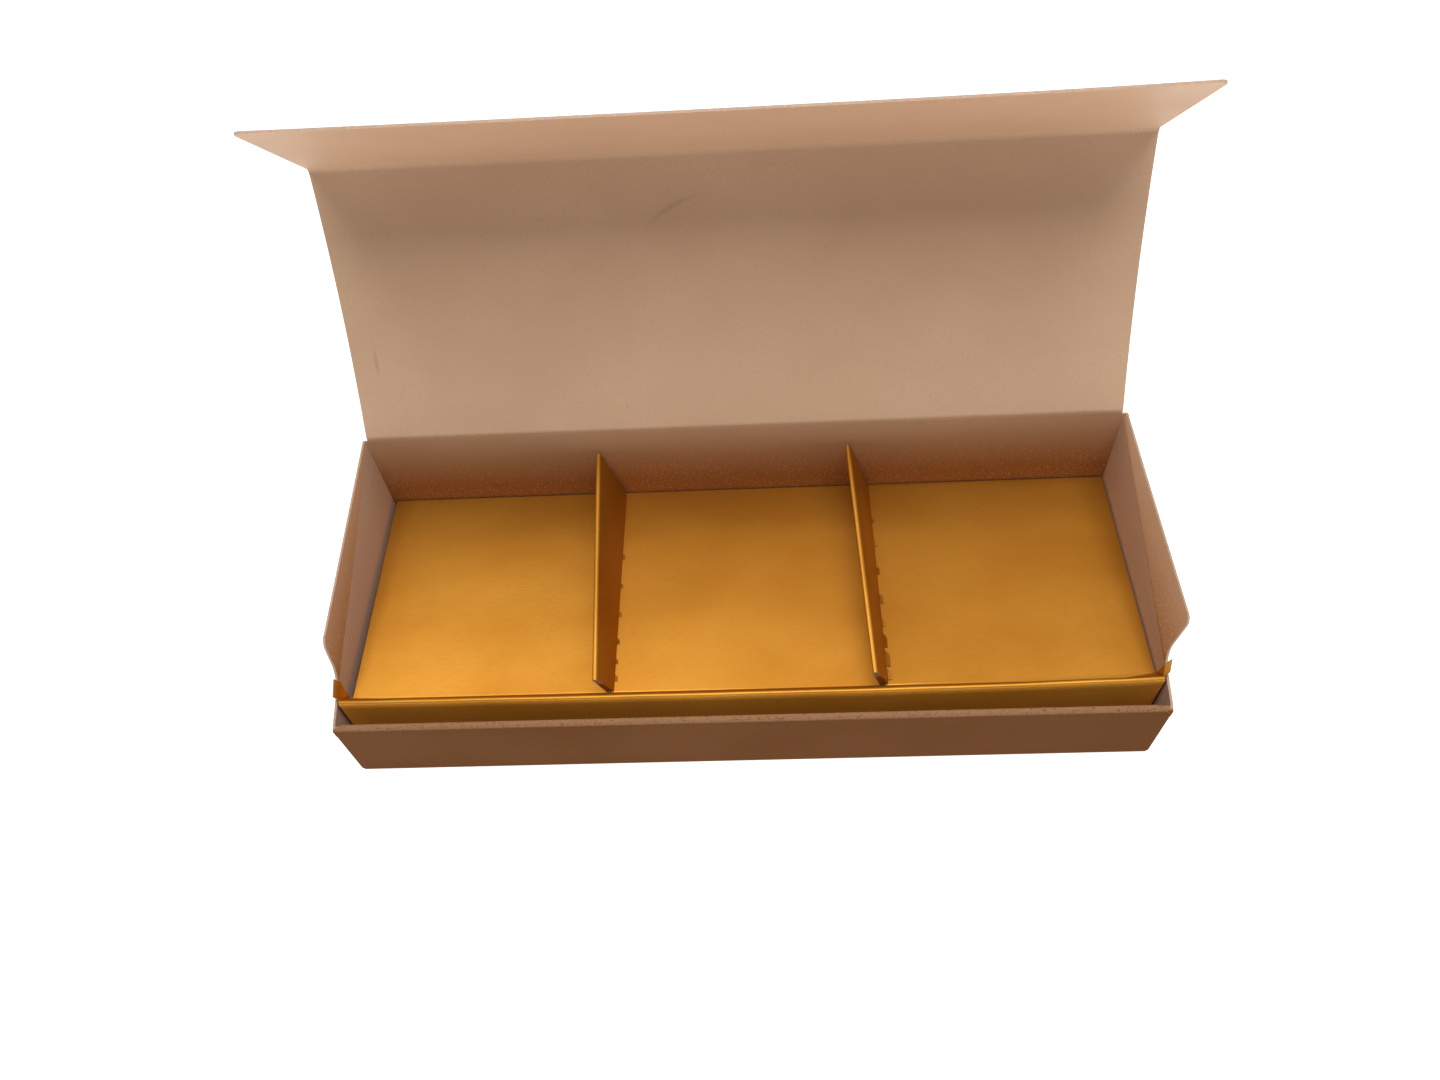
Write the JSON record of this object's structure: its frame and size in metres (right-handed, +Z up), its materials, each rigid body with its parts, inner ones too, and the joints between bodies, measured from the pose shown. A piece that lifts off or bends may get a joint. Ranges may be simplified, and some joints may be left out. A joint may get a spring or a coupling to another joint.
{
  "type": "chocolate gift box",
  "caption": "Long low gift carton of thin card with a back-hinged lid, a tuck flap, and a folded gold liner with upright dividers.",
  "frame": {"origin": "centre of the tray's underside", "axes": "+X along the width, to the right seen from the front; +Y from the front wall to the back wall; +Z up"},
  "size_m": [0.174, 0.0883, 0.1145],
  "materials": {
    "cream_card": "matt, faintly pearly, uncoated cream card",
    "gold_card": "satin gold foiled card with a fine crosswise grain"
  },
  "bodies": {
    "tray": {"carton_tray": "cream_card", "gold_liner": "gold_card"},
    "lid": {"lid_panel": "cream_card"},
    "flap": {"tuck_flap": "cream_card"}
  },
  "joints": [
    {"name": "lid_hinge", "type": "hinge", "parent": "tray", "child": "lid", "pos_m": [0, 0.03125, 0.039], "axis": [1, 0, 0], "range_deg": [-60, 115.8]},
    {"name": "flap_hinge", "type": "hinge", "parent": "lid", "child": "flap", "pos_m": [0, 0.05662, 0.09149], "axis": [1, 0, 0], "range_deg": [-64, 19.7]}
  ]
}
